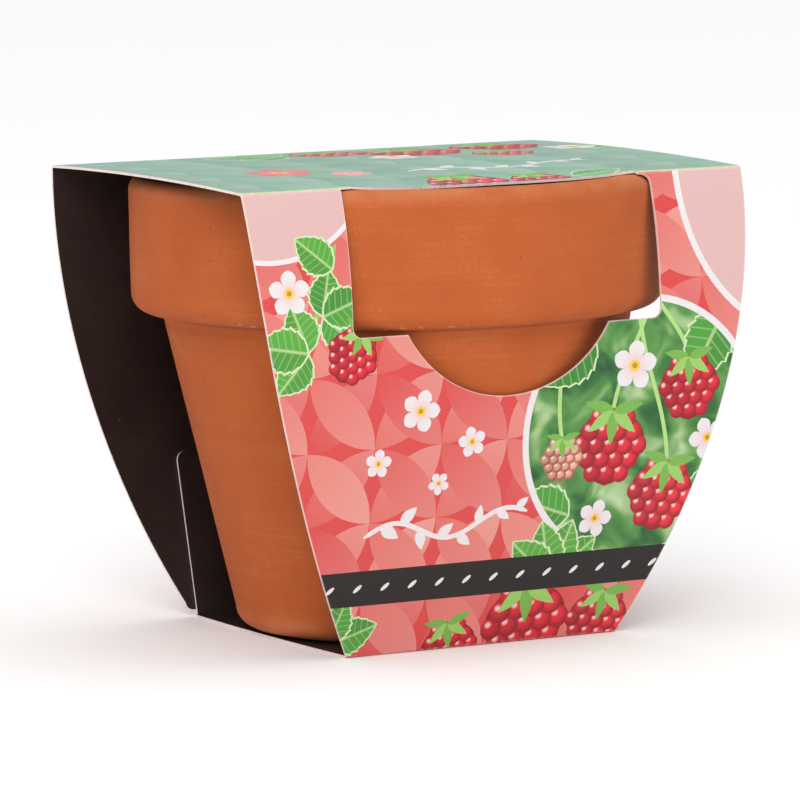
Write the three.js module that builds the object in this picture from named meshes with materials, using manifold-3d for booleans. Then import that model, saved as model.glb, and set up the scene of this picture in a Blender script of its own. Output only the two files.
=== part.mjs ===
// Terracotta pot held in a folded card sleeve, with two pressed coir tablets and a seed sachet inside.
// Millimetres, +Z up. The origin is the centre of the sleeve's base, on the surface it stands on.
// X runs along the sleeve's open ends, and the front panel faces -Y.
import * as THREE from 'three';
import { mergeVertices } from 'three/addons/utils/BufferGeometryUtils.js';
import Module from 'manifold-3d';

// Clearances
const GAP = 0.3;
const CARD = 0.5;

// Pot: an 11 cm pot, measured over its rim
const RIM_TOP_R = 55.0;
const RIM_LOW_R = 54.6;
const RIM_TOP_Z = 93.7;
const RIM_LOW_Z = 66.2;
const RIM_TOP_ROUND = 2.8;
const RIM_LOW_ROUND = 4.0;
const BODY_TOP_R = 48.5;
const BODY_FOOT_R = 33.4;
const FOOT_ROUND = 4.0;
const NECK_ROUND = 1.2;
const MOUTH_R = 48.6;
const MOUTH_ROUND = 2.0;
const WALL = 5.6;
const FLOOR = 7.0;
const FLOOR_ROUND = 4.0;
const DRAIN_R = 6.5;
const POT_SIDES = 80;

// Sleeve, seen from the front: an arc for each side edge
const SIDE_ARC_X = -158.9;
const SIDE_ARC_Z = 103.0;
const SIDE_ARC_R = 216.1;

// Sleeve, seen from the end: each panel is a bowed line from the base fold to the top fold
const FRONT = { foot: [33.7, 0], low: [43.4, 25], high: [52.3, 64.5], top: [42.1, 94.7], swell: 0 };
const BACK = { foot: [34.4, 0], low: [42.0, 25], high: [47.0, 66.0], top: [43.9, 95.3], swell: 3.2 };
const TOP_BOW = 0.8;
const FOLD_ROUND = 0.7;
const PANEL_STEPS = 18;
const TOP_STEPS = 10;
const BASE_END_SWELL = 0.8;

// Window through which the rim looks out, the same in the front and back panels
const WINDOW_HALF = 35.2;
const WINDOW_SILL_Z = 65.4;
const WINDOW_CORNER = 2.0;
const WINDOW_TOP_HALF = 32.6;
const SCOOP_HALF = 23.0;
const SCOOP_DEPTH = 13.6;
const TOP_RELIEF = 1.2;

// Glue flap: the end of the base, turned up inside the back panel
const FLAP_HALF = 30.4;
const FLAP_HEIGHT = 34.0;
const FLAP_CORNER = 2.0;

// What the pot holds
const TABLET_R = 27.5;
const TABLET_H = 14.0;
const TABLET_ROUND = 1.6;
const SACHET = { x: 54, y: 40, h: 1.6, round: 4, taper: 2.5 };

const POT_Z = CARD + GAP;
const wasm = await Module();
wasm.setup();

function toSolid(geometry) {
  const bare = geometry.index ? geometry.clone() : geometry;
  bare.deleteAttribute('normal');
  bare.deleteAttribute('uv');
  const merged = mergeVertices(bare, 1e-4);
  return new wasm.Manifold(new wasm.Mesh({
    numProp: 3,
    vertProperties: new Float32Array(merged.attributes.position.array),
    triVerts: new Uint32Array(merged.index.array),
  }));
}

function toGeometry(solid) {
  const mesh = solid.getMesh();
  const geometry = new THREE.BufferGeometry();
  geometry.setAttribute('position', new THREE.BufferAttribute(mesh.vertProperties, 3));
  geometry.setIndex(new THREE.BufferAttribute(mesh.triVerts, 1));
  return geometry;
}

function node(name, geometry, look) {
  geometry.computeVertexNormals();
  const mesh = new THREE.Mesh(geometry, new THREE.MeshStandardMaterial(look));
  mesh.name = name;
  return mesh;
}

// Points on an arc about (r, z), from one angle to another in degrees
function arc(r, z, radius, from, to, steps) {
  const points = [];
  for (let i = 0; i <= steps; i += 1) {
    const a = THREE.MathUtils.degToRad(from + ((to - from) * i) / steps);
    points.push(new THREE.Vector2(r + radius * Math.cos(a), z + radius * Math.sin(a)));
  }
  return points;
}

// A profile (radius, height) turned about Z. A closed profile comes back to its first point.
function turned(profile, sides) {
  const closed = [...profile, profile[0].clone()];
  const geometry = new THREE.LatheGeometry(closed, sides);
  return geometry.rotateX(Math.PI / 2);
}

function bodyRadius(z) {
  const t = (z - POT_Z) / (RIM_LOW_Z - POT_Z);
  return BODY_FOOT_R + (BODY_TOP_R - BODY_FOOT_R) * t;
}

function rimRadius(z) {
  const t = (z - RIM_LOW_Z) / (RIM_TOP_Z - RIM_LOW_Z);
  return RIM_LOW_R + (RIM_TOP_R - RIM_LOW_R) * t;
}

function makePot() {
  const floorZ = POT_Z + FLOOR;
  const footZ = POT_Z + FOOT_ROUND;
  const neckZ = RIM_LOW_Z - NECK_ROUND;
  const lowZ = RIM_LOW_Z + RIM_LOW_ROUND;
  const topZ = RIM_TOP_Z - RIM_TOP_ROUND;
  const floorR = bodyRadius(floorZ + FLOOR_ROUND) - WALL - FLOOR_ROUND;
  const profile = [
    new THREE.Vector2(DRAIN_R, POT_Z),
    ...arc(bodyRadius(footZ) - FOOT_ROUND, footZ, FOOT_ROUND, -90, 0, 6),
    ...arc(bodyRadius(neckZ) + NECK_ROUND, neckZ, NECK_ROUND, 180, 90, 3),
    ...arc(rimRadius(lowZ) - RIM_LOW_ROUND, lowZ, RIM_LOW_ROUND, -90, 0, 6),
    ...arc(rimRadius(topZ) - RIM_TOP_ROUND, topZ, RIM_TOP_ROUND, 0, 90, 5),
    ...arc(MOUTH_R + MOUTH_ROUND, RIM_TOP_Z - MOUTH_ROUND, MOUTH_ROUND, 90, 180, 4),
    new THREE.Vector2(bodyRadius(RIM_LOW_Z - 8) - WALL, RIM_LOW_Z - 8),
    ...arc(floorR, floorZ + FLOOR_ROUND, FLOOR_ROUND, 0, -90, 5),
    new THREE.Vector2(DRAIN_R, floorZ),
  ];
  return turned(profile, POT_SIDES);
}

// Half-width of the sleeve at a height, from the arc of its side edge
function halfWidth(z) {
  return SIDE_ARC_X + Math.sqrt(SIDE_ARC_R ** 2 - (z - SIDE_ARC_Z) ** 2);
}

function panelCurve(panel) {
  const corners = [panel.foot, panel.low, panel.high, panel.top];
  return new THREE.CubicBezierCurve(...corners.map(([y, z]) => new THREE.Vector2(y, z)));
}

// How far a panel stands proud of its own side edges, where the pot presses it out
function swell(panel, x, z) {
  const across = Math.max(0, 1 - (x / halfWidth(z)) ** 2);
  const along = Math.sin(Math.PI * THREE.MathUtils.clamp(z / 92, 0, 1)) ** 2;
  return panel.swell * across * along;
}

function panelPoints(panel, side, x) {
  return panelCurve(panel).getPoints(PANEL_STEPS).map((p) => {
    return new THREE.Vector2(side * (p.x + swell(panel, x, p.y)), p.y);
  });
}

// Replaces a corner by three points of a small round, so that a fold isn't knife-sharp
function softened(before, corner, after) {
  const a = before.clone().sub(corner).setLength(FOLD_ROUND).add(corner);
  const b = after.clone().sub(corner).setLength(FOLD_ROUND).add(corner);
  const middle = a.clone().add(b).add(corner.clone().multiplyScalar(2)).multiplyScalar(0.25);
  return [a, middle, b];
}

// The sleeve's outer line at one place along X: up the front, over the top, down the back
function sleeveLine(x) {
  const front = panelPoints(FRONT, -1, x);
  const back = panelPoints(BACK, 1, x).reverse();
  const start = front[front.length - 1];
  const end = back[0];
  const top = [];
  for (let i = 1; i < TOP_STEPS; i += 1) {
    const t = i / TOP_STEPS;
    top.push(start.clone().lerp(end, t).add(new THREE.Vector2(0, TOP_BOW * 4 * t * (1 - t))));
  }
  const line = [...front, ...top, ...back];
  const count = line.length;
  const folds = new Set([0, front.length - 1, front.length + top.length, count - 1]);
  return line.flatMap((p, i) => {
    if (!folds.has(i)) return [p];
    return softened(line[(i + count - 1) % count], p, line[(i + 1) % count]);
  });
}

// The same line moved inwards by the given distance
function inset(line, distance) {
  const count = line.length;
  return line.map((p, i) => {
    const d0 = p.clone().sub(line[(i + count - 1) % count]).normalize();
    const d1 = line[(i + 1) % count].clone().sub(p).normalize();
    const n0 = new THREE.Vector2(d0.y, -d0.x);
    const n1 = new THREE.Vector2(d1.y, -d1.x);
    const n = n0.add(n1).normalize();
    const stretch = 1 / Math.max(0.5, n.dot(n1));
    return p.clone().add(n.multiplyScalar(distance * stretch));
  });
}

// A closed skin between an outer and an inner loop, carried along X
function shell(loopAt, from, to, steps, depth, thickness) {
  const rings = [];
  for (let i = 0; i <= steps; i += 1) {
    const x = from + ((to - from) * i) / steps;
    const line = loopAt(x);
    rings.push([x, depth === 0 ? line : inset(line, depth), inset(line, depth + thickness)]);
  }
  const count = rings[0][1].length;
  const positions = [];
  rings.forEach(([x, outer, inner]) => {
    outer.forEach((p) => positions.push(x, p.x, p.y));
    inner.forEach((p) => positions.push(x, p.x, p.y));
  });
  const index = [];
  const quad = (a, b, c, d) => index.push(a, c, b, a, d, c);
  const ring = count * 2;
  for (let s = 0; s < steps; s += 1) {
    for (let i = 0; i < count; i += 1) {
      const j = (i + 1) % count;
      const o = s * ring;
      const n = o + ring;
      quad(o + i, o + j, n + j, n + i);
      quad(o + count + j, o + count + i, n + count + i, n + count + j);
    }
  }
  for (let i = 0; i < count; i += 1) {
    const j = (i + 1) % count;
    const n = steps * ring;
    quad(j, i, count + i, count + j);
    quad(n + i, n + j, n + count + j, n + count + i);
  }
  const geometry = new THREE.BufferGeometry();
  geometry.setAttribute('position', new THREE.Float32BufferAttribute(positions, 3));
  geometry.setIndex(index);
  return geometry;
}

// A shape drawn in (x, z) and carried along Y from one place to another
function throughY(shape, from, to) {
  const settings = { depth: to - from, bevelEnabled: false, curveSegments: 8 };
  return new THREE.ExtrudeGeometry(shape, settings).rotateX(Math.PI / 2).translate(0, to, 0);
}

// Front outline of the sleeve, which cuts its open ends to their curve
function outlineShape() {
  const steps = 28;
  const top = 100;
  const right = [];
  for (let i = 0; i <= steps; i += 1) {
    const z = -0.2 + ((top + 0.2) * i) / steps;
    right.push(new THREE.Vector2(halfWidth(z), z));
  }
  const left = right.map((p) => new THREE.Vector2(-p.x, p.y)).reverse();
  return new THREE.Shape([...right, ...left]);
}

// The base's ends swell a little past the side edges' feet
function basePlate() {
  const half = halfWidth(0);
  const depth = BACK.foot[0];
  const shape = new THREE.Shape();
  shape.moveTo(half, -depth);
  shape.quadraticCurveTo(half + 2 * BASE_END_SWELL, 0, half, depth);
  shape.lineTo(-half, depth);
  shape.quadraticCurveTo(-half - 2 * BASE_END_SWELL, 0, -half, -depth);
  return new THREE.ExtrudeGeometry(shape, { depth: CARD, bevelEnabled: false, curveSegments: 10 });
}

// Window with its round scoop in the sill. Its upper corners close in towards the fold.
function windowShape() {
  const sill = WINDOW_SILL_Z;
  const roll = SCOOP_DEPTH / 2 + SCOOP_HALF ** 2 / (2 * SCOOP_DEPTH);
  const centre = sill - SCOOP_DEPTH + roll;
  const start = Math.atan2(sill - centre, -SCOOP_HALF);
  const end = Math.atan2(sill - centre, SCOOP_HALF);
  const shoulder = FRONT.top[1] - 2.6;
  const shape = new THREE.Shape();
  shape.moveTo(-WINDOW_TOP_HALF, 101);
  shape.lineTo(-WINDOW_TOP_HALF, FRONT.top[1] - 0.2);
  shape.quadraticCurveTo(-WINDOW_HALF, FRONT.top[1] - 0.6, -WINDOW_HALF, shoulder);
  shape.lineTo(-WINDOW_HALF, sill + WINDOW_CORNER);
  shape.quadraticCurveTo(-WINDOW_HALF, sill, -WINDOW_HALF + WINDOW_CORNER, sill);
  shape.lineTo(-SCOOP_HALF, sill);
  shape.absarc(0, centre, roll, start, end, false);
  shape.lineTo(WINDOW_HALF - WINDOW_CORNER, sill);
  shape.quadraticCurveTo(WINDOW_HALF, sill, WINDOW_HALF, sill + WINDOW_CORNER);
  shape.lineTo(WINDOW_HALF, shoulder);
  shape.quadraticCurveTo(WINDOW_HALF, FRONT.top[1] - 0.6, WINDOW_TOP_HALF, FRONT.top[1] - 0.2);
  shape.lineTo(WINDOW_TOP_HALF, 101);
  return shape;
}

function flapShape() {
  const top = FLAP_HEIGHT;
  const shape = new THREE.Shape();
  shape.moveTo(-FLAP_HALF, CARD / 2);
  shape.lineTo(FLAP_HALF, CARD / 2);
  shape.lineTo(FLAP_HALF, top - FLAP_CORNER);
  shape.quadraticCurveTo(FLAP_HALF, top, FLAP_HALF - FLAP_CORNER, top);
  shape.lineTo(-FLAP_HALF + FLAP_CORNER, top);
  shape.quadraticCurveTo(-FLAP_HALF, top, -FLAP_HALF, top - FLAP_CORNER);
  return shape;
}

function makeSleeve() {
  const skin = toSolid(shell(sleeveLine, -60, 60, 20, 0, CARD));
  const outline = toSolid(throughY(outlineShape(), -70, 70)).add(toSolid(basePlate()));
  const frontWindow = toSolid(throughY(windowShape(), -70, -(FRONT.top[0] - TOP_RELIEF)));
  const backWindow = toSolid(throughY(windowShape(), BACK.top[0] - TOP_RELIEF, 70));
  const lining = toSolid(shell(sleeveLine, -60, 60, 20, CARD - 0.1, CARD + 0.1));
  const flap = lining.intersect(toSolid(throughY(flapShape(), BACK.foot[0] - 3 * CARD, 70)));
  const sleeve = skin.intersect(outline).add(flap).subtract(frontWindow).subtract(backWindow);
  return toGeometry(sleeve.simplify(0.01));
}

function makeTablet(bottom) {
  const profile = [
    new THREE.Vector2(0, bottom),
    ...arc(TABLET_R - TABLET_ROUND, bottom + TABLET_ROUND, TABLET_ROUND, -90, 0, 3),
    ...arc(TABLET_R - TABLET_ROUND, bottom + TABLET_H - TABLET_ROUND, TABLET_ROUND, 0, 90, 3),
    new THREE.Vector2(0, bottom + TABLET_H),
  ];
  return new THREE.LatheGeometry(profile, 48).rotateX(Math.PI / 2);
}

function makeSachet(bottom) {
  const { x, y, h, round, taper } = SACHET;
  const bevel = h * 0.4;
  const shape = new THREE.Shape();
  shape.moveTo(-x / 2 + round, -y / 2);
  shape.lineTo(x / 2 - round, -y / 2);
  shape.quadraticCurveTo(x / 2, -y / 2, x / 2, -y / 2 + round);
  shape.lineTo(x / 2, y / 2 - round);
  shape.quadraticCurveTo(x / 2, y / 2, x / 2 - round, y / 2);
  shape.lineTo(-x / 2 + round, y / 2);
  shape.quadraticCurveTo(-x / 2, y / 2, -x / 2, y / 2 - round);
  shape.lineTo(-x / 2, -y / 2 + round);
  shape.quadraticCurveTo(-x / 2, -y / 2, -x / 2 + round, -y / 2);
  const geometry = new THREE.ExtrudeGeometry(shape, {
    depth: h - 2 * bevel,
    bevelThickness: bevel,
    bevelSize: taper,
    bevelOffset: -taper,
    bevelSegments: 2,
    curveSegments: 4,
  });
  return geometry.translate(0, 0, bottom + bevel);
}

const floorTop = POT_Z + FLOOR + GAP;
const secondTablet = floorTop + TABLET_H + GAP;
const sachetBottom = secondTablet + TABLET_H + GAP;

const clay = { color: 0xc0693a, roughness: 0.85, metalness: 0 };
const card = { color: 0xee6466, roughness: 0.5, metalness: 0 };
const coir = { color: 0x4a3020, roughness: 1, metalness: 0 };
const paper = { color: 0xe9e4d8, roughness: 0.7, metalness: 0 };

const group = new THREE.Group();
group.add(node('pot', makePot(), clay));
group.add(node('sleeve', makeSleeve(), card));
group.add(node('coir_tablet_lower', makeTablet(floorTop), coir));
group.add(node('coir_tablet_upper', makeTablet(secondTablet), coir));
group.add(node('seed_sachet', makeSachet(sachetBottom), paper));

export default group;
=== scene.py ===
"""Terracotta pot in a printed card sleeve: the finished looks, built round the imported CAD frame.

The pot is turned, the sleeve is one die-cut card blank that is wrapped round it, and both stand
in the CAD frame's own coordinates: metres, +Z up, with the sleeve's front panel facing -Y.
Shapes are drawn in millimetres and turned into metres as each mesh is made.
"""
import math

import bpy
import numpy as np
from mathutils import Matrix, Vector, noise
from mathutils.geometry import delaunay_2d_cdt
from mathutils.kdtree import KDTree


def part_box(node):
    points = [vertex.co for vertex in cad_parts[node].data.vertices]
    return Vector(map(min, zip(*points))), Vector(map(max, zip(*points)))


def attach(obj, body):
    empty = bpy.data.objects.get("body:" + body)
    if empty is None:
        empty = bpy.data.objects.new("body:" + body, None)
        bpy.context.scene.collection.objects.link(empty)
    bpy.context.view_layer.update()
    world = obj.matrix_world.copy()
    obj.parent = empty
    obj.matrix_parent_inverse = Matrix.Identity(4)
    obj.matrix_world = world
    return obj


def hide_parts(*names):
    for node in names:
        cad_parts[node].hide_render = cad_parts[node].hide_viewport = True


bl_info = {
    "name": "Terracotta pot in a card sleeve",
    "version": (1, 0, 0),
    "blender": (4, 5, 0),
    "location": "3D View > Sidebar > Clay Pot",
    "description": "Builds a terracotta pot in its printed card sleeve, on a plain studio floor",
    "category": "Add Mesh",
}

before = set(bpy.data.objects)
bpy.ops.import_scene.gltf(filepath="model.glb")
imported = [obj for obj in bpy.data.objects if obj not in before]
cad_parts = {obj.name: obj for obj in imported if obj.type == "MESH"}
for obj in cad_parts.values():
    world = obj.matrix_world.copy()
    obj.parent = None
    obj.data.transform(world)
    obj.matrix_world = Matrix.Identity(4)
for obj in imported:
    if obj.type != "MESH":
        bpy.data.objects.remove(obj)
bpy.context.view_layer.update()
MM = 0.001


# ------------------------------------------------------------------ values and small helpers


def linear(code):
    """An sRGB hex colour as linear red, green and blue."""
    parts = [int(code[i : i + 2], 16) / 255 for i in (1, 3, 5)]
    return tuple(c / 12.92 if c <= 0.04045 else ((c + 0.055) / 1.055) ** 2.4 for c in parts)


def rgba(code):
    return (*linear(code), 1.0)


def length(name, size, text):
    """A length property with its default in millimetres."""
    return bpy.props.FloatProperty(
        name=name, description=text, default=size * MM, unit="LENGTH", precision=5
    )


def colour(name, code, text):
    return bpy.props.FloatVectorProperty(
        name=name, description=text, default=linear(code), subtype="COLOR", min=0, max=1
    )


def angle(name, degrees, text):
    return bpy.props.FloatProperty(
        name=name, description=text, default=math.radians(degrees), subtype="ANGLE"
    )


def strength(name, value, text):
    return bpy.props.FloatProperty(name=name, description=text, default=value)


class PotSizes(bpy.types.PropertyGroup):
    """What a user would change on the pot."""

    rim_top: length("Rim radius, top", 54.94, "Outer radius of the rim at its upper edge")
    rim_low: length("Rim radius, bottom", 54.6, "Outer radius of the rim at its lower edge")
    rim_top_z: length("Rim top", 94.0, "Height of the rim's upper edge")
    rim_low_z: length("Rim bottom", 66.2, "Height of the rim's lower edge")
    body_top: length("Body radius, top", 48.5, "Outer radius of the body under the rim")
    body_foot: length("Body radius, foot", 33.4, "Outer radius of the body where it stands")
    mouth: length("Mouth radius", 48.6, "Inner radius at the rim")
    wall: length("Wall", 5.6, "Thickness of the body's wall")
    floor: length("Floor", 7.0, "Thickness of the pot's floor")
    drain: length("Drain hole radius", 6.5, "Radius of the hole in the floor")
    stand: length("Stand height", 0.8, "Height of the pot's underside, on the sleeve's base")
    clay: colour("Clay", "#b65b2c", "The fired clay's main colour")
    clay_dark: colour("Dark clay", "#9a4722", "Clay in the darker clouds and turning lines")
    # On the lip this pale colour is partly a painted highlight
    clay_pale: colour("Pale clay", "#ca855c", "The pale bloom on edges and lips")


class SleeveSizes(bpy.types.PropertyGroup):
    """What a user would change on the card sleeve."""

    card: length("Card", 0.5, "Thickness of the card")
    fold: length("Fold radius", 0.8, "How round each fold is")
    window_half: length("Window half-width", 35.2, "Half of the window's width")
    sill_z: length("Window sill", 65.4, "Height of the window's lower edge")
    scoop_half: length("Scoop half-width", 23.0, "Half of the scoop's width at the sill")
    scoop_depth: length("Scoop depth", 13.6, "How far the scoop reaches below the sill")
    flap_half: length("Flap half-width", 30.4, "Half of the glue flap's width")
    flap_height: length("Flap height", 34.0, "Height of the glue flap's upper edge")
    coral: colour("Coral ink", "#cf4644", "The panels' main ink")
    coral_pale: colour("Pale coral ink", "#d97d72", "The palest tone of the pattern on the coral ink")
    pink: colour("Pale pink ink", "#d4adaa", "The pale areas of the print")
    mint: colour("Mint ink", "#81ab97", "The top panel's ink")
    stripe: colour("Stripe ink", "#1d1918", "The dark stripe near the base")
    inside: colour("Inside ink", "#17100f", "The blank's dark inner side")
    raw: colour("Raw card", "#eedad5", "The card's bare fibre on its cut edges")


class FillingSizes(bpy.types.PropertyGroup):
    """What a user would change on the tablets and the sachet."""

    tablet: length("Tablet radius", 27.4, "Radius of a pressed tablet")
    tablet_height: length("Tablet height", 14.0, "Height of a pressed tablet")
    sachet_x: length("Sachet length", 54.0, "Length of the seed sachet")
    sachet_y: length("Sachet width", 40.0, "Width of the seed sachet")
    coir: colour("Coir", "#5a3a24", "The pressed fibre's colour")
    paper: colour("Paper", "#e9e3d6", "The sachet's paper")


class StageSettings(bpy.types.PropertyGroup):
    """The camera, the lights and the floor."""

    lens: bpy.props.FloatProperty(name="Lens", description="Focal length in mm", default=265.75)
    azimuth: angle("Azimuth", 28.57, "Which way the camera looks")
    elevation: angle("Elevation", 6.5, "How far it looks down")
    roll: angle("Roll", -0.84, "How far it leans")
    place: bpy.props.FloatVectorProperty(
        name="Place", description="Where it stands", default=(-0.5776, -1.0613, 0.1843),
        subtype="TRANSLATION",
    )
    key: strength("Key light", 23.5, "Power in watts")
    overhead: strength("Overhead light", 2.1, "Strength of the soft top light")
    room: strength("Room light", 0.34, "Strength of the white room")
    floor: colour("Floor", "#fafafa", "The floor's colour")


# The blank's own lines, in millimetres: an arc for each side edge, seen from the front, and a
# bowed line for each upright panel, seen from the end, as (depth, height) handles from base to top
SIDE_ARC = {"x": -158.93, "z": 103.0, "r": 216.1}
FRONT_LINE = ((33.7, 0.0), (43.4, 25.0), (52.3, 64.5), (42.1, 94.7))
BACK_LINE = ((34.4, 0.0), (42.0, 25.0), (47.0, 66.0), (43.9, 95.3))
# How far the back panel swells out between its side edges, and the height at which that ends
BACK_SWELL, SWELL_TOP = 3.2, 92.0
# How far the top panel rises in its middle, and how far behind its fold it is cut at the window
TOP_BOW, TOP_RELIEF = 0.79, 1.6
# The top panel sags over the window: how deep, from how far in front of the pot's middle, over
# what run, and how far in from the window's sides
TOP_SAG, SAG_START, SAG_RUN, SAG_SIDE = 0.85, 12.0, 28.0, 3.2
# How much wider the base is in its middle, and how high the back panel starts above it
BASE_SWELL, BACK_FOOT_Z = 0.8, 1.0
# How far the glue flap's printed side lies inside the back panel's
FLAP_INSET = 0.62
# Heights of the crease under the pot's rim, and of the print's dark stripe
CREASE_Z, STRIPE_Z = 65.9, (10.9, 18.2)
# Rounds on the corners of the window and the flap, and on the back panel's foot
CUT_ROUND, FOOT_ROUND = 2.0, 1.5
# Half of the width over which grounds, fold lines and stripes are drawn, a little past the cut edge
PAST_CUT = 60.0
STRIPE_HALF = 58.0
# A line is drawn this far in from each cut, so that wear on the cut has points to sit on
WEAR_INSET = 0.4
# How far apart the points lie that let the card bend, along the blank and across it
BEND_ROWS, BEND_COLUMNS = 2.2, 2.4
# How far apart the points lie from which the distance to a cut is taken
CUT_STEP = 0.12
# The inner side's fibre is read from another part of the noise than the printed side's
INNER_SHIFT = 40.0
# How finely the pot and the tablets are turned, and the longest step along the pot's profile
POT_SIDES, TABLET_SIDES, POT_STEP = 256, 160, 1.6
# The stage is in metres. The softbox hangs low and to the left, so the clay darkens to the right
FLOOR_HALF, SOFTBOX_SIZE = 40.0, 1.1
KEY_PLACE = (-1.0, -1.76, 1.12)


def in_mm(value):
    return value / MM


def bezier(handles, count):
    """Points along a cubic curve."""
    t = np.linspace(0, 1, count)[:, None]
    a, b, c, d = (np.array(h) for h in handles)
    return a * (1 - t) ** 3 + 3 * b * t * (1 - t) ** 2 + 3 * c * t**2 * (1 - t) + d * t**3


def arc(cx, cy, r, start, end, count):
    """Points on an arc, from one angle in degrees to another."""
    a = np.radians(np.linspace(start, end, count))
    return np.stack([cx + r * np.cos(a), cy + r * np.sin(a)], 1)


def half_width(z):
    """Half of the sleeve's width at a height, from the arc of its side edge."""
    return SIDE_ARC["x"] + np.sqrt(SIDE_ARC["r"] ** 2 - (np.asarray(z) - SIDE_ARC["z"]) ** 2)


def rounded(line, corners, radius):
    """Replaces each corner point of a line, and what lies close to it, by a small round."""
    out = []
    for i, point in enumerate(line):
        if i not in corners:
            if min(np.linalg.norm(line[k] - point) for k in corners) > radius * 1.1:
                out.append(point)
            continue
        before, after = (point + unit(line[k] - point) * radius for k in (i - 1, i + 1))
        for t in np.linspace(0, 1, 7):
            out.append(before * (1 - t) ** 2 + 2 * point * t * (1 - t) + after * t**2)
    return np.array(out)


def unit(vectors):
    return vectors / np.maximum(np.linalg.norm(vectors, axis=-1, keepdims=True), 1e-12)


def leftward(vectors):
    """Flat vectors turned a quarter to the left, one unit long."""
    return unit(np.stack([-vectors[:, 1], vectors[:, 0]], 1))


def main_output(node):
    return next(s for s in node.outputs if s.enabled)


def add(tree, kind, inputs=None, stops=None, **settings):
    """Adds a shader node, with its settings, its input values or links, and a ramp's colour stops."""
    node = tree.nodes.new("ShaderNode" + kind)
    for name, value in settings.items():
        setattr(node, name, value)
    for key, value in (inputs or {}).items():
        socket = node.inputs[key] if isinstance(key, int) else None
        socket = socket or next(s for s in node.inputs if s.enabled and s.name == key)
        if isinstance(value, bpy.types.Node):
            value = main_output(value)
        if isinstance(value, bpy.types.NodeSocket):
            tree.links.new(value, socket)
        else:
            socket.default_value = value
    for i, (place, ink) in enumerate(stops or ()):
        elements = node.color_ramp.elements
        element = elements[i] if i < len(elements) else elements.new(place)
        element.position, element.color = place, ink
    return node


def new_material(name, **values):
    """A material with a Principled shader and its plain values. Returns material, tree and shader."""
    material = bpy.data.materials.new(name)
    material.use_nodes = True
    shader = material.node_tree.nodes["Principled BSDF"]
    for key, value in values.items():
        shader.inputs[key.replace("_", " ")].default_value = value
    return material, material.node_tree, shader


def new_piece(name, points, faces, materials, slots=None, normals=None):
    """A mesh object from points in millimetres."""
    mesh = bpy.data.meshes.new(name)
    mesh.from_pydata((np.asarray(points) * MM).tolist(), [], [tuple(int(i) for i in f) for f in faces])
    for material in materials:
        mesh.materials.append(material)
    if slots is not None:
        mesh.polygons.foreach_set("material_index", np.asarray(slots, np.int32))
    mesh.polygons.foreach_set("use_smooth", np.ones(len(mesh.polygons), bool))
    mesh.update()
    if normals is not None:
        mesh.normals_split_custom_set(normals.tolist())
    piece = bpy.data.objects.new(name, mesh)
    bpy.context.scene.collection.objects.link(piece)
    return piece


def write_attribute(mesh, name, kind, domain, values, rest=0.0):
    """Writes an attribute's values in order. What they don't reach gets the number rest."""
    layer = mesh.attributes.new(name, kind, domain)
    full = np.full((len(layer.data), values.shape[-1]), rest, np.float32)
    full[: len(values)] = values
    layer.data.foreach_set("color" if kind == "FLOAT_COLOR" else "vector", full.ravel())


def settle(piece, node):
    """Hands a finished piece to the frame: hides the part that it stands for, and hangs it on the root.
    """
    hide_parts(node)
    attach(piece, "root")


def turned(profile, sides):
    """Points and faces of a closed profile (radius, height) turned about Z."""
    a = np.linspace(0, 2 * math.pi, sides, endpoint=False)
    r, z = profile[:, 0], profile[:, 1]
    points = np.stack([np.outer(np.cos(a), r), np.outer(np.sin(a), r), np.tile(z, (sides, 1))], -1)
    count = len(profile)
    i, j = np.meshgrid(np.arange(sides), np.arange(count), indexing="ij")
    i2, j2 = (i + 1) % sides, (j + 1) % count
    faces = np.stack([i * count + j, i2 * count + j, i2 * count + j2, i * count + j2], -1)
    return points.reshape(-1, 3), faces.reshape(-1, 4)


# ------------------------------------------------------------------ materials

SMOOTH = {"interpolation_type": "SMOOTHSTEP"}
TIMES = {"operation": "MULTIPLY"}


def in_millimetres(tree):
    """The object's own coordinates in millimetres, so that a pattern's scale is one over its size."""
    metres = add(tree, "TexCoord").outputs["Object"]
    return add(tree, "VectorMath", {0: metres, "Scale": 1 / MM}, operation="SCALE")


def finish_surface(tree, shader, tone, relief, strength, depth):
    """Gives a shader its colour, and a bump whose depth is in metres."""
    tree.links.new(main_output(tone), shader.inputs["Base Color"])
    bump = add(tree, "Bump", {"Height": relief, "Strength": strength, "Distance": depth})
    tree.links.new(bump.outputs[0], shader.inputs["Normal"])


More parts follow.
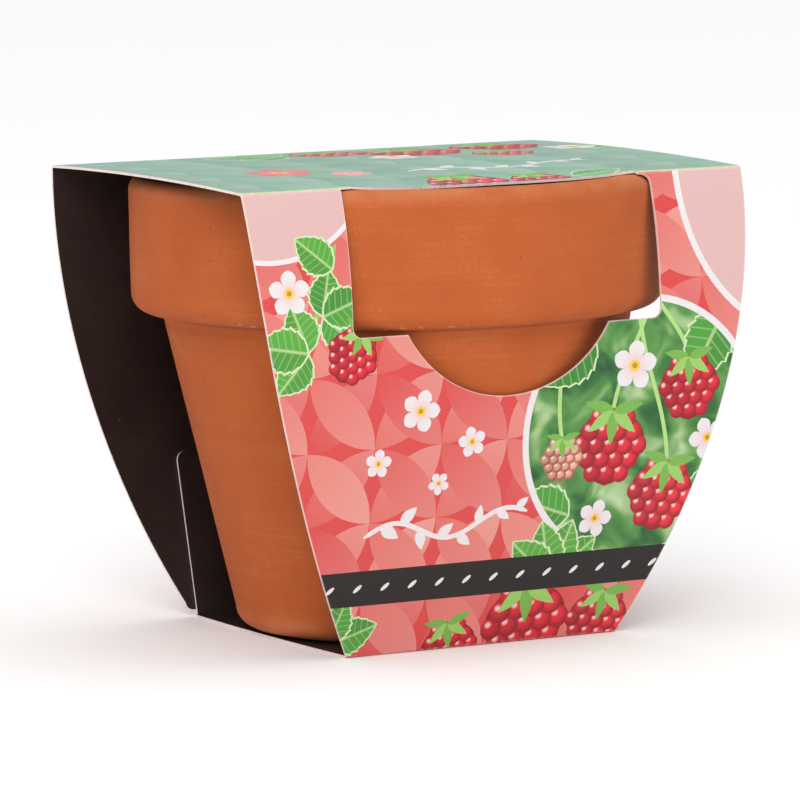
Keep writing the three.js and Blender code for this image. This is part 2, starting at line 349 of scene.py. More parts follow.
def terracotta(sizes):
    """Terracotta: red clay, pressed and turned in a mould, fired and left unglazed.

    Bare fired clay is dull and open-pored. Turning leaves fine level lines, firing leaves soft
    clouds, a pale bloom sits on the lip and the foot, with a painted highlight in the lip's share,
    and grog and lime show as dark pits and pale specks.
    """
    material, tree, shader = new_material(
        "terracotta_turned_and_fired", Roughness=0.88, IOR=1.5, Specular_IOR_Level=0.25
    )
    place = in_millimetres(tree)
    level = add(tree, "VectorMath", {0: place, 1: (0.015, 0.015, 1.6)}, **TIMES)
    # Turning lines are 0.5 to 1 mm apart, clouds 15 to 20 mm across, and grains 0.5 mm
    lines = add(tree, "TexNoise", {"Vector": level, "Scale": 1.0, "Detail": 3.0, "Roughness": 0.6})
    clouds = add(tree, "TexNoise", {"Vector": place, "Scale": 1 / 16, "Detail": 4.0, "Roughness": 0.55})
    grain = add(tree, "TexNoise", {"Vector": place, "Scale": 1 / 0.5, "Detail": 3.0, "Roughness": 0.7})
    tone = 0.5
    for pattern, half, reach in ((lines, 0.2, 0.05), (clouds, 0.2, 0.11), (grain, 0.25, 0.09)):
        part = add(tree, "MapRange", {0: pattern, 1: 0.5 - half, 2: 0.5 + half, 3: -reach, 4: reach})
        tone = add(tree, "Math", {0: part, 1: tone}, operation="ADD")
    stops = [(0.0, sizes.clay_dark), (0.55, sizes.clay), (1.0, sizes.clay_pale)]
    body = add(tree, "ValToRGB", {0: tone}, stops=[(at, (*ink, 1)) for at, ink in stops])
    height = add(tree, "SeparateXYZ", {0: place}).outputs["Z"]
    # The lip's pale band is partly pale bloom and partly a painted highlight on its upper rounding; the
    # foot's band is pale bloom
    lip = add(tree, "MapRange", {0: height, 1: 90.0, 2: 93.6, 3: 0.0, 4: 0.5}, **SMOOTH)
    foot = add(tree, "MapRange", {0: height, 1: 7.0, 2: 1.5, 3: 0.0, 4: 0.5}, **SMOOTH)
    edges = add(tree, "Math", {0: lip, 1: foot}, operation="MAXIMUM")
    patchy = add(tree, "TexNoise", {"Vector": place, "Scale": 1 / 7, "Detail": 3.0})
    patchy = add(tree, "MapRange", {0: patchy, 1: 0.2, 2: 0.7})
    layers = [(add(tree, "Math", {0: edges, 1: patchy}, **TIMES), (*sizes.clay_pale, 1))]
    # Pits are 0.5 mm across, about one to five square centimetres, and lime specks are rarer
    for cell, radius, share, ink, shift in (
        (5.0, 0.05, 0.5, "#5d2c17", 0.0), (7.0, 0.03, 0.6, "#e3b598", 31.0),
    ):
        shifted = add(tree, "VectorMath", {0: place, 1: (shift, shift, 0.0)}, operation="ADD")
        cells = add(tree, "TexVoronoi", {"Vector": shifted, "Scale": 1 / cell}).outputs
        dot = add(tree, "MapRange", {0: cells["Distance"], 1: radius, 2: radius * 0.5, 3: 0.0, 4: 0.8})
        pick = add(tree, "SeparateColor", {0: cells["Color"]}).outputs[0]
        pick = add(tree, "Math", {0: pick, 1: share}, operation="GREATER_THAN")
        layers.append((add(tree, "Math", {0: dot, 1: pick}, **TIMES), rgba(ink)))

    def away_from(z):
        gap = add(tree, "Math", {0: height, 1: z}, operation="SUBTRACT")
        return add(tree, "Math", {0: gap}, operation="ABSOLUTE")

    # Painted shade darkens the crease under the rim, and a few pale chips sit on its upper side
    painted_crease_shade = add(tree, "MapRange", {0: away_from(CREASE_Z), 1: 0.8, 2: 0.1, 3: 0.0, 4: 0.4}, **SMOOTH)
    chips = add(tree, "VectorMath", {0: place, 1: (0.5, 0.5, 1.1)}, **TIMES)
    chips = add(tree, "TexNoise", {"Vector": chips, "Scale": 1.0, "Detail": 2.0})
    chips = add(tree, "MapRange", {0: chips, 1: 0.64, 2: 0.7, 3: 0.0, 4: 0.55})
    near = add(tree, "MapRange", {0: away_from(CREASE_Z + 0.7), 1: 0.7, 2: 0.3})
    chips = add(tree, "Math", {0: chips, 1: near}, **TIMES)
    for share, ink in (*layers, (painted_crease_shade, rgba("#6b2e17")), (chips, rgba("#dba688"))):
        body = add(tree, "Mix", {"Factor": share, "A": body, "B": ink}, data_type="RGBA")
    relief = add(tree, "Math", {0: lines, 1: grain}, operation="ADD")
    finish_surface(tree, shader, body, relief, 0.35, 0.00012)
    return material


def printed_card(sizes):
    """Folding boxboard: coated, offset printed and sealed with a satin varnish.

    The print's shapes are in the mesh, as an ink colour at each corner, with a local frame in
    which leaves get their veins and fruit its roundness. The varnish gives a soft sheen, the board
    a faint unevenness, and folds and cuts show a little bare fibre where the coating has cracked.
    """
    material, tree, shader = new_material(
        "boxboard_offset_printed_satin", Roughness=0.46, IOR=1.5, Specular_IOR_Level=0.38
    )
    ink, motif, sheet, worn = (
        add(tree, "Attribute", attribute_name=name).outputs["Color" if name == "ink" else "Vector"]
        for name in ("ink", "motif", "sheet", "worn")
    )
    along, across, kind = add(tree, "SeparateXYZ", {0: motif}).outputs
    to_cut, to_fold, _ = add(tree, "SeparateXYZ", {0: worn}).outputs
    on = {
        name: add(tree, "Math", {0: kind, 1: number, 2: 0.3}, operation="COMPARE")
        for name, number in KIND.items() if name != "flat"
    }
    # Out-of-focus greenery, as in a garden picture: soft patches 6 to 12 mm across
    patches = {"Vector": sheet, "Scale": 1 / 9, "Detail": 2.0, "Roughness": 0.5, "Distortion": 0.6}
    greens = ("#1c4526", "#326b35", "#5b9148", "#9dbb85", "#cfdcc0")
    stops = [(at, rgba(green)) for at, green in zip((0.3, 0.42, 0.54, 0.66, 0.78), greens)]
    greenery = add(tree, "ValToRGB", {0: add(tree, "TexNoise", patches)}, stops=stops)
    print_now = add(tree, "Mix", {"Factor": on["greenery"], "A": ink, "B": greenery}, data_type="RGBA")
    # Leaves: one half a little darker, a pale midrib and pale side veins
    sideways = add(tree, "Math", {0: across}, operation="ABSOLUTE")
    shade = add(tree, "MapRange", {0: across, 1: -0.1, 2: 0.25, 3: 0.0, 4: 0.3}, **SMOOTH)
    rib = add(tree, "MapRange", {0: sideways, 1: 0.03, 2: 0.1, 3: 0.5, 4: 0.0}, **SMOOTH)
    veins = add(tree, "Math", {0: sideways, 1: -0.13, 2: along}, operation="MULTIPLY_ADD")
    veins = add(tree, "Math", {0: veins, 1: 0.065}, operation="PINGPONG")
    veins = add(tree, "MapRange", {0: veins, 1: 0.0, 2: 0.018, 3: 0.3, 4: 0.0}, **SMOOTH)
    paler = add(tree, "Math", {0: rib, 1: veins}, operation="MAXIMUM")
    marks = [("leaf", shade, "#2c6428"), ("leaf", paler, "#d6e6a8")]
    # Fruit: each bead is darker towards its rim, with a soft highlight
    spot = add(tree, "CombineXYZ", {0: along, 1: across})
    for middle, start, end, most, tint in (
        ((-0.18, 0.22, 0.0), 0.4, 1.2, 0.8, "#7d1020"),
        ((-0.34, 0.38, 0.0), 0.42, 0.08, 0.75, "#ffd8d2"),
    ):
        off = add(tree, "VectorMath", {0: spot, 1: middle}, operation="DISTANCE").outputs["Value"]
        off = add(tree, "MapRange", {0: off, 1: start, 2: end, 3: 0.0, 4: most}, **SMOOTH)
        marks.append(("fruit", off, tint))
    # The ground pattern's lenses fade from point to point, and petals are pinkish at the heart
    fade = add(tree, "MapRange", {0: along, 1: -1.0, 2: 1.0, 3: 0.0, 4: 0.16})
    blush = add(tree, "MapRange", {0: along, 1: 0.75, 2: 0.0, 3: 0.0, 4: 0.55}, **SMOOTH)
    marks += [("lens", fade, "#efe2da"), ("petal", blush, "#e7a7ad")]
    for name, share, tint in marks:
        share = add(tree, "Math", {0: share, 1: on[name]}, **TIMES)
        inputs = {"Factor": share, "A": print_now, "B": rgba(tint)}
        print_now = add(tree, "Mix", inputs, data_type="RGBA")
    # Print grain: a 0.35 mm mottle, coarser than a real 0.15 mm screen so that it shows
    mottle = add(tree, "TexNoise", {"Vector": sheet, "Scale": 1 / 0.35, "Detail": 2.0})
    mottle = add(tree, "MapRange", {0: mottle, 1: 0.3, 2: 0.7, 3: 0.94, 4: 1.06})
    print_now = add(tree, "VectorMath", {0: print_now, "Scale": mottle}, operation="SCALE")
    # Wear: bare fibre within 0.24 mm of a cut and 0.6 mm of a fold, broken up along the folds
    ragged = add(tree, "TexNoise", {"Vector": sheet, "Scale": 1 / 0.9, "Detail": 3.0})
    ragged = add(tree, "MapRange", {0: ragged, 1: 0.4, 2: 0.7})
    cut = add(tree, "MapRange", {0: to_cut, 1: 0.24, 2: 0.06, 3: 0.0, 4: 0.45})
    fold = add(tree, "MapRange", {0: to_fold, 1: 0.6, 2: 0.1, 3: 0.0, 4: 0.45})
    fold = add(tree, "Math", {0: fold, 1: ragged}, **TIMES)
    wear = add(tree, "Math", {0: cut, 1: fold}, operation="MAXIMUM")
    fibre = add(tree, "TexNoise", {"Vector": sheet, "Scale": 1 / 1.4, "Detail": 4.0, "Roughness": 0.6})
    bare = (*sizes.raw, 1)
    print_now = add(tree, "Mix", {"Factor": wear, "A": print_now, "B": bare}, data_type="RGBA")
    finish_surface(tree, shader, print_now, fibre, 0.25, 0.00006)
    return material


def card_inside(sizes):
    """The same board's inner side: flooded with near-black brown ink and varnished."""
    material, tree, shader = new_material("boxboard_inner_flood_coat", Roughness=0.5, IOR=1.5)
    sheet = add(tree, "Attribute", attribute_name="sheet").outputs["Vector"]
    clouds = add(tree, "TexNoise", {"Vector": sheet, "Scale": 1 / 11, "Detail": 5.0, "Roughness": 0.65})
    tone = add(tree, "ValToRGB", {0: clouds}, stops=[(0.3, (*sizes.inside, 1)), (0.7, rgba("#251a18"))])
    specks = add(tree, "TexVoronoi", {"Vector": sheet, "Scale": 1 / 8}).outputs["Distance"]
    dot = add(tree, "MapRange", {0: specks, 1: 0.03, 2: 0.015, 3: 0.0, 4: 0.35})
    fibre = add(tree, "TexNoise", {"Vector": sheet, "Scale": 1 / 1.2, "Detail": 4.0})
    tone = add(tree, "Mix", {"Factor": dot, "A": tone, "B": rgba("#a08f88")}, data_type="RGBA")
    finish_surface(tree, shader, tone, fibre, 0.3, 0.00006)
    return material


def card_edge(sizes):
    """The board's cut edge: bare pressed fibre, matt, off-white with a pink cast from the ink."""
    material, tree, shader = new_material("boxboard_cut_edge", Roughness=0.85, IOR=1.45)
    fibre = add(tree, "TexNoise", {"Vector": in_millimetres(tree), "Scale": 1 / 0.6, "Detail": 3.0})
    tone = add(tree, "ValToRGB", {0: fibre}, stops=[(0.3, rgba("#dac0b9")), (0.5, (*sizes.raw, 1))])
    tree.links.new(tone.outputs[0], shader.inputs["Base Color"])
    return material


def coir_fibre(sizes):
    """Coir pith: coconut fibre, pressed dry into a tablet. Dull, brown and crossed with paler hairs."""
    material, tree, shader = new_material("coir_pressed", Roughness=0.95, IOR=1.45)
    place = in_millimetres(tree)
    crumbs = add(tree, "TexNoise", {"Vector": place, "Scale": 1 / 1.6, "Detail": 5.0, "Roughness": 0.7})
    stops = [(0.3, rgba("#2c1b11")), (0.55, (*sizes.coir, 1)), (0.75, rgba("#7d5a3a"))]
    tone = add(tree, "ValToRGB", {0: crumbs}, stops=stops)
    combed = add(tree, "VectorMath", {0: place, 1: (0.12, 1.6, 1.6)}, **TIMES)
    hairs = add(tree, "TexNoise", {"Vector": combed, "Scale": 1.0, "Detail": 2.0, "Distortion": 1.2})
    hairs = add(tree, "MapRange", {0: hairs, 1: 0.64, 2: 0.7})
    tone = add(tree, "Mix", {"Factor": hairs, "A": tone, "B": rgba("#a9825a")}, data_type="RGBA")
    finish_surface(tree, shader, tone, crumbs, 0.8, 0.0006)
    return material


def sachet_paper(sizes):
    """Kraft paper, bleached and folded into a bag: matt, with fine fibres and a soft crinkle."""
    material, tree, shader = new_material("paper_bleached_folded", Roughness=0.8, IOR=1.45)
    place = in_millimetres(tree)
    fibres = add(tree, "TexNoise", {"Vector": place, "Scale": 1 / 0.8, "Detail": 4.0})
    tone = add(tree, "ValToRGB", {0: fibres}, stops=[(0.3, rgba("#d5cdbd")), (0.65, (*sizes.paper, 1))])
    crinkle = add(tree, "TexNoise", {"Vector": place, "Scale": 1 / 5, "Detail": 4.0, "Distortion": 1.0})
    finish_surface(tree, shader, tone, crinkle, 0.5, 0.0004)
    return material


def studio_floor(settings):
    """Matt white board with a faint mottle."""
    material, tree, shader = new_material("studio_board_white", Roughness=0.9, IOR=1.45)
    place = add(tree, "TexCoord").outputs["Object"]
    mottle = add(tree, "TexNoise", {"Vector": place, "Scale": 30.0, "Detail": 2.0})
    stops = [(0.0, (*(c * 0.985 for c in settings.floor), 1)), (1.0, (*settings.floor, 1))]
    tone = add(tree, "ValToRGB", {0: mottle}, stops=stops)
    tree.links.new(tone.outputs[0], shader.inputs["Base Color"])
    return material


# ------------------------------------------------------------------ the print
# Each printed shape is an outline in panel millimetres, an ink, a kind that says how it is shaded,
# and the local frame of that shading: origin, angle, length and half-width.

KIND = {"flat": 0.0, "leaf": 1.0, "fruit": 2.0, "petal": 3.0, "greenery": 4.0, "lens": 5.0}
WHITE = "#ded8d9"
LEAF, LEAF_SHADE, LEAF_DEEP, LEAF_COOL = "#55a03c", "#4a9639", "#3f8a34", "#6db07a"
BERRY, BERRY_SHADE, BERRY_LIGHT = "#d62634", "#cf2030", "#dc3038"
ROSE, ROSE_SHADE, ROSE_PALE = "#d9535f", "#cf4453", "#e06a70"


def shape(outline, ink, kind="flat", origin=(0, 0), angle=0.0, long=1.0, half=1.0, clip=None):
    """A printed shape. clip is the outline that it is cut off at."""
    return {
        "outline": np.asarray(outline, float), "ink": linear(ink) if isinstance(ink, str) else ink,
        "kind": KIND[kind], "origin": origin, "angle": math.radians(angle), "long": long,
        "half": half, "clip": clip,
    }


def mirrored(upper):
    """A closed outline from its upper half, drawn along +X."""
    return np.vstack([upper, upper[-2:0:-1] * (1, -1)])


def turned_to(points, origin, angle):
    """Points drawn along +X, turned to an angle in degrees and moved to their origin."""
    c, s = math.cos(math.radians(angle)), math.sin(math.radians(angle))
    return np.asarray(points) @ np.array([[c, s], [-s, c]]) + np.array(origin)


def disc(x, y, r, count=48):
    return arc(x, y, r, 0, 360 - 360 / count, count)


def leaf_outline(long, half, teeth):
    """A pointed leaf along +X with fine teeth on both edges."""
    steps = np.array([[0.0, 0.95], [0.45, 0.99], [0.85, 1.07], [0.97, 0.97]])
    t = np.concatenate([(i + steps[:, 0]) / teeth for i in range(teeth)] + [[1.0]])
    toothed = np.concatenate([np.tile(steps[:, 1], teeth), [1.0]])
    width = half * np.sin(math.pi * t**0.8) ** 0.85 * toothed
    return mirrored(np.stack([t * long, width], 1))


def blade_outline(long, half):
    """A plain pointed blade along +X."""
    t = np.linspace(0, 1, 12)
    return mirrored(np.stack([t * long, half * np.sin(math.pi * t**0.75) ** 0.9], 1))


def leaf(x, y, long, half, angle, ink=LEAF, edge=0.35, clip=None):
    """A leaf with a pale keyline."""
    rim = leaf_outline(long + edge, half + edge, 7)
    body = leaf_outline(long - edge, half - edge * 0.4, 7)
    start = turned_to([(edge, 0)], (x, y), angle)[0]
    return [
        shape(turned_to(rim, (x, y), angle), "#c9d9ae", clip=clip),
        shape(turned_to(body, start, angle), ink, "leaf", start, angle, long, half, clip),
    ]


def trefoil(x, y, long, angle, ink=LEAF, clip=None):
    """Three leaves from one point."""
    half = long * 0.36
    return [
        *leaf(x, y, long * 0.85, half * 0.9, angle + 58, ink, clip=clip),
        *leaf(x, y, long * 0.85, half * 0.9, angle - 58, ink, clip=clip),
        *leaf(x, y, long, half, angle, ink, clip=clip),
    ]


def blossom(x, y, r, turn=0.0, ink=WHITE, clip=None):
    """Five round petals about a yellow heart."""
    t = np.linspace(0, 1, 15)
    petal = mirrored(np.stack([t * r, r * 0.36 * np.sin(math.pi * t**1.5) ** 0.7], 1))
    out = [
        shape(turned_to(petal, (x, y), angle), ink, "petal", (x, y), angle, r, r * 0.36, clip)
        for angle in turn + np.arange(5) * 72.0
    ]
    out.append(shape(disc(x, y, r * 0.24, 20), "#e9c24c", clip=clip))
    out.append(shape(disc(x, y, r * 0.12, 12), "#b98a2c", clip=clip))
    return out


def fruit(x, y, r, turn=90.0, ink=BERRY, clip=None):
    """A bramble fruit: round beads packed in rows inside a blunt cone, under a star of sepals."""
    t = np.linspace(0, 1, 25)
    body = mirrored(np.stack([r * (0.86 - 1.86 * t), 0.95 * r * np.sin(math.pi * t**0.8) ** 0.62], 1))
    red = np.array(linear(ink))
    out = [shape(turned_to(body * 0.93, (x, y), turn), red * 0.4, clip=clip)]
    bead = r * 0.23
    grid = [(j, i + 0.5 * (j % 2)) for j in range(-5, 6) for i in range(-4, 5)]
    rows = np.array(grid) * bead * (1.36, 1.6)
    for a, b in rows[inside(rows, body * 0.9)]:
        shade = 1.08 - 0.3 * (b / r + 0.6) * (b > -0.6 * r) + 0.06 * math.sin(a * 9 + b * 5)
        spot = turned_to([(a, b)], (x, y), turn)[0]
        tone = np.minimum(1.0, red * shade)
        out.append(shape(disc(*spot, bead, 14), tone, "fruit", spot, 0, bead, bead, clip))
    top = turned_to([(r * 0.78, 0)], (x, y), turn)[0]
    sepal = blade_outline(r * 0.78, r * 0.14)
    for i in range(5):
        green = "#93c163" if i % 2 else "#74a94a"
        out.append(shape(turned_to(sepal, top, turn + 180 + (i - 2) * 52), green, clip=clip))
    return out


def stroke(points, width, ink, clip=None):
    """A line of even width with round-looking ends."""
    points = np.asarray(points, float)
    along = np.arange(len(points))
    taper = np.minimum(1, np.minimum(along, along[::-1]) * 0.35 + 0.35)
    side = leftward(np.gradient(points, axis=0)) * (taper[:, None] * width / 2)
    return shape(np.vstack([points + side, (points - side)[::-1]]), ink, clip=clip)


def curve(handles, count=24):
    return bezier([np.array(h, float) for h in handles], count)


def petal_ground(x_half, low, high, r, inks):
    """The old pattern of overlapping circles: lenses about the points of a slanting grid."""
    half_chord = r / math.sqrt(2)
    t = np.linspace(-1, 1, 13)
    lens = mirrored(np.stack([t * half_chord, np.sqrt(r**2 - (t * half_chord) ** 2) - half_chord], 1))
    columns, rows = int(x_half / r) + 2, int((high - low) / r) + 2
    out = []
    for i in range(-columns, columns):
        for j in range(-1, rows):
            for rise in (1, -1):
                centre = (i * r + r / 2, low + (j + (i + 1) % 2) * r + rise * r / 2)
                angle = 45 * rise
                ink = inks[(i * 2 + j * 3 + rise) % len(inks)]
                placed = turned_to(lens, centre, angle)
                out.append(shape(placed, ink, "lens", centre, angle, half_chord, r / 3))
    return out


def flourish(x, y, long, ink=WHITE, clip=None):
    """A thin trailing vine with small leaves, drawn in one ink."""
    t = np.linspace(0, 1, 60)
    line = np.stack([x + long * t, y + long * 0.06 * np.sin(t * 9.0) + long * 0.05 * t], 1)
    out = [stroke(line, 1.0, ink, clip)]
    for i, place in enumerate(range(6, 58, 7)):
        side = 1 if i % 2 else -1
        base = line[place]
        way = math.degrees(math.atan2(*(line[place + 1] - line[place - 1])[::-1]))
        size = long * (0.13 - 0.006 * i)
        blade = turned_to(blade_outline(size, size * 0.27), base, way + side * 52)
        out.append(shape(blade, ink, clip=clip))
    return out


def ground_inks(inks):
    return [inks[k] for k in ("coral_light", "coral_mid", "coral_pale", "coral_light", "coral")]


def panel_ground(inks, side):
    """The ground pattern with two pale round fields, and on which side the larger one lies."""
    out = petal_ground(PAST_CUT, -2, 98, 15.0, ground_inks(inks))
    for x, y, r, keyline in ((74 * side, 92, 32.0, 1.4), (-52 * side, 106, 24.4, 1.0)):
        out += [shape(disc(x, y, r + keyline, 96), WHITE), shape(disc(x, y, r, 96), inks["pink"])]
    return out


def band(low, high, ink):
    """A band of one ink right across a panel."""
    x = STRIPE_HALF
    return shape([(-x, low), (x, low), (x, high), (-x, high)], ink)


def seed_stripe(inks):
    """A dark stripe with a row of small slanting seeds."""
    low, high = STRIPE_Z
    seed = disc(0, 0, 1, 16) * (1.15, 0.42)
    return [
        band(low, high, inks["stripe"]),
        *(shape(turned_to(seed, (i * 6.2, (low + high) / 2), 40), WHITE) for i in range(-7, 8)),
    ]


def front_print(inks):
    """The front panel's print: x across, y up, both from the middle of the base fold."""
    out = panel_ground(inks, 1)
    # Round picture of a garden
    ring, garden = disc(31, 43, 27.4, 120), disc(31, 43, 26.0, 120)
    out += [shape(ring, WHITE), shape(garden, "#4c8a44", "greenery")]
    stalks = (
        ((33, 70), (31, 62), (25, 56), (24, 45)), ((34, 70), (36, 66), (41, 62), (42, 56)),
        ((30, 70), (30, 56), (37, 48), (38, 34)), ((12, 60), (12, 52), (11, 48), (13, 41)),
    )
    out += [stroke(curve(handles), 0.9, "#a9cf7c", garden) for handles in stalks]
    out += leaf(20, 62, 15, 5.0, 215, LEAF_DEEP, clip=garden)
    out += leaf(50, 66, 16, 5.5, 240, LEAF_SHADE, clip=garden)
    out += trefoil(47, 34, 12, -30, LEAF_DEEP, garden)
    out += leaf(16, 26, 13, 4.6, 160, LEAF_SHADE, clip=garden)
    out += fruit(24, 40, 9.0, 86, clip=garden) + fruit(42, 51, 7.6, 92, BERRY_SHADE, garden)
    out += fruit(37, 29, 8.4, 80, BERRY_LIGHT, garden) + fruit(13, 38, 5.2, 90, "#dfa58a", garden)
    out += blossom(29, 56, 5.2, 10, clip=garden) + blossom(47, 40, 4.4, 40, clip=garden)
    out += blossom(22, 25, 4.0, 0, clip=garden)
    # Branch beside the window
    out.append(stroke(curve(((-56, 50), (-49, 58), (-44, 66), (-38, 84))), 1.0, "#8cbf62"))
    out += trefoil(-45, 63, 12, 170) + trefoil(-42, 70, 11, 20, LEAF_SHADE)
    out += leaf(-39, 79, 10, 3.6, 140) + fruit(-35.5, 62, 6.2, 60) + blossom(-49, 75, 4.6, 18)
    # White vine and scattered blossoms on the plain ground
    out += flourish(-31, 25, 37)
    for x, y, r, turn in ((-20, 50, 4.4, 0), (-8, 43, 3.2, 30), (-29, 40, 3.0, 12), (-15, 35, 2.4, 50)):
        out += blossom(x, y, r, turn)
    # Fruit and leaves at the base
    out += fruit(9, 4, 10.5, 95) + fruit(-8, 0, 7.0, 100, BERRY_SHADE)
    out += fruit(26, 3, 8.0, 80, BERRY_LIGHT)
    for angle in (40, 72, 104, 138):
        out += leaf(13, 13, 12.5, 4.0, angle)
    out += leaf(-36, 3, 11, 3.8, 20, LEAF_SHADE) + leaf(-36, 3, 10, 3.4, 74, LEAF_SHADE)
    return out + seed_stripe(inks)


def back_print(inks):
    """The back panel's print, with a bare pale field: x across, y up."""
    out = panel_ground(inks, -1)
    corners = ((23, 43, 0), (-23, 43, 90), (-23, 27, 180), (23, 27, 270))
    out.append(shape(np.vstack([arc(x, y, 4, a, a + 90, 8) for x, y, a in corners]), inks["pink"]))
    out.append(stroke(curve(((56, 44), (49, 54), (44, 64), (39, 82))), 1.0, "#8cbf62"))
    out += trefoil(45, 61, 12, 10) + trefoil(41, 72, 11, 150, LEAF_SHADE) + blossom(48, 73, 4.6, 18)
    out += fruit(-43, 58, 7.0, 90) + trefoil(-43, 64, 12, 60, LEAF_SHADE) + blossom(-42, 44, 4.2, 30)
    out += fruit(-12, 3, 9.0, 95) + fruit(6, 1, 7.0, 80, BERRY_SHADE)
    for angle in (50, 84, 120):
        out += leaf(-6, 12, 11, 3.6, angle)
    return out + seed_stripe(inks)


def top_print(inks):
    """The top panel's print: x across, y from front to back."""
    out = petal_ground(PAST_CUT, -45, 50, 16.0, [inks[k] for k in ("mint_deep", "mint", "mint_pale")])
    out += trefoil(-12, 30, 15, 160, LEAF_COOL) + trefoil(52, 8, 14, 20, LEAF_COOL)
    out += fruit(16, 22, 12.0, 90, ROSE) + fruit(38, 26, 11.0, 90, ROSE_SHADE)
    out += fruit(0, 30, 9.0, 90, ROSE_PALE) + fruit(30, 8, 7.5, 90, ROSE_PALE)
    out += blossom(50, 14, 6.0) + blossom(6, 12, 5.5, 30)
    out += fruit(-4, -38, 9.5, 90, ROSE) + fruit(12, -39, 7.0, 90, ROSE_SHADE)
    out += leaf(20, -38, 12, 4, 10, LEAF_COOL)
    out += blossom(-32, -10, 7.5, 12, "#e0747a") + blossom(-20, -18, 4.5, 40, "#e9a0a0")
    out += flourish(-8, -20, 44)
    return out + [band(-43, -41.2, "#b7c990")]


def base_print(inks):
    """The base's underside: the ground pattern alone."""
    return petal_ground(40, -40, 40, 15.0, ground_inks(inks))


# ------------------------------------------------------------------ the blank


class Blank:
    """The card blank, laid out flat: x across it, and v along it from the back panel's foot.

    It runs up the back, over the top, down the front, along the base and up inside the back
    panel again, as the glue flap. place() wraps it round the pot.
    """

    def __init__(self, sizes):
        self.flap_half, self.window_half = in_mm(sizes.flap_half), in_mm(sizes.window_half)
        back, front = bezier(BACK_LINE, 120), bezier(FRONT_LINE, 120) * (-1, 1)
        back_up = back[back[:, 1] > BACK_FOOT_Z]
        t = np.linspace(0, 1, 90)[1:-1, None]
        top = back[-1] * (1 - t) + front[-1] * t + np.concatenate([0 * t, TOP_BOW * 4 * t * (1 - t)], 1)
        t = np.linspace(0, 1, 60)[1:-1, None]
        base_end = np.array([BACK_LINE[0][0] - FLAP_INSET, 0.0])
        base = front[0] * (1 - t) + base_end * t
        flap = back + leftward(np.gradient(back, axis=0)) * FLAP_INSET
        flap = flap[(flap[:, 1] > BACK_FOOT_Z) & (flap[:, 1] < in_mm(sizes.flap_height))]
        flap = np.vstack([base_end, flap])
        line = np.vstack([back_up, top, front[::-1], base, flap])
        corners = np.cumsum([len(back_up) - 1, len(top) + 1, len(front) - 1, len(base) + 1])
        marks = line[corners]
        self.line = rounded(line, set(corners.tolist()), in_mm(sizes.fold))
        steps = np.linalg.norm(np.diff(self.line, axis=0), axis=1)
        self.v = np.concatenate([[0], np.cumsum(steps)])
        self.folds = [float(self.v[np.argmin(np.linalg.norm(self.line - m, axis=1))]) for m in marks]
        self.length = float(self.v[-1])
        # Each panel's ends along the blank, and which of its line's two measures runs along it
        names = ("back", "top", "front", "base")
        self.spans = dict(zip(names, zip((0.0, *self.folds), self.folds, (1, 0, 1, 0))))

    def line_at(self, v):
        return np.interp(v, self.v, self.line[:, 0]), np.interp(v, self.v, self.line[:, 1])

    def place(self, x, v):
        """Where a point of the blank's printed side lies once it is folded."""
        y, z = self.line_at(v)
        across = np.clip(1 - (x / half_width(z)) ** 2, 0, 1)
        along = np.sin(math.pi * np.clip(z / SWELL_TOP, 0, 1)) ** 2
        on_back = (v < self.folds[0]) | (v > self.folds[3])
        on_top = (v > self.folds[0]) & (v < self.folds[1])
        near_edge = np.clip((-y - SAG_START) / SAG_RUN, 0, 1) ** 2
        sag = TOP_SAG * np.clip(1 - (x / (self.window_half - SAG_SIDE)) ** 4, 0, 1) * near_edge
        y = y + np.where(on_back, BACK_SWELL * across * along, 0)
        return np.stack([x, y, z - np.where(on_top, sag, 0)], -1)

    def normal(self, x, v, step=0.02):
        """The printed side's outward direction."""
        dv = self.place(x, v + step) - self.place(x, v - step)
        dx = self.place(x + step, v) - self.place(x - step, v)
        return unit(np.cross(dv, dx))

    def v_of(self, panel, at):
        """How far along the blank a height of the front or back lies, or a depth of the top or base."""
        low, high, column = self.spans[panel]
        within = (self.v >= low) & (self.v <= high)
        known, length_at = self.line[within, column], self.v[within]
        if known[0] > known[-1]:
            known, length_at = known[::-1], length_at[::-1]
        slope = (length_at[-1] - length_at[0]) / (known[-1] - known[0])
        out = np.interp(at, known, length_at)
        out = np.where(at < known[0], length_at[0] + (at - known[0]) * slope, out)
        return np.where(at > known[-1], length_at[-1] + (at - known[-1]) * slope, out)

    def laid(self, panel, outline):
        """An outline in a panel's own millimetres, laid on the blank."""
        outline = np.asarray(outline, float)
        return np.stack([outline[:, 0], self.v_of(panel, outline[:, 1])], 1)

    def half(self, v):
        """Half of the blank's width at a place along it."""
        y, z = self.line_at(v)
        width = half_width(z)
        on_base = (v > self.folds[2]) & (v < self.folds[3])
        base_width = half_width(0) + BASE_SWELL * (1 - (y / BACK_LINE[0][0]) ** 2)
        width = np.where(on_base, base_width, width)
        return np.where(v > self.folds[3], self.flap_half, width)

    def outline(self):
        """The die-cut outline, one way round."""
        stations = zip((0, *self.folds), self.folds, (70, 50, 70, 40))
        v = np.unique(np.concatenate([np.linspace(*station) for station in stations]))
        v = v[(v > FOOT_ROUND + 0.5) & (v < self.folds[3] - 0.2)]
        foot = float(self.half(FOOT_ROUND)) - FOOT_ROUND
        right = np.vstack([
            arc(foot, FOOT_ROUND, FOOT_ROUND, -90, 0, 7),
            np.stack([self.half(v), v], 1),
            (self.flap_half, self.folds[3] + 0.3),
            arc(self.flap_half - CUT_ROUND, self.length - CUT_ROUND, CUT_ROUND, 0, 90, 7),
        ])
        return np.vstack([right, (right * (-1, 1))[::-1]])

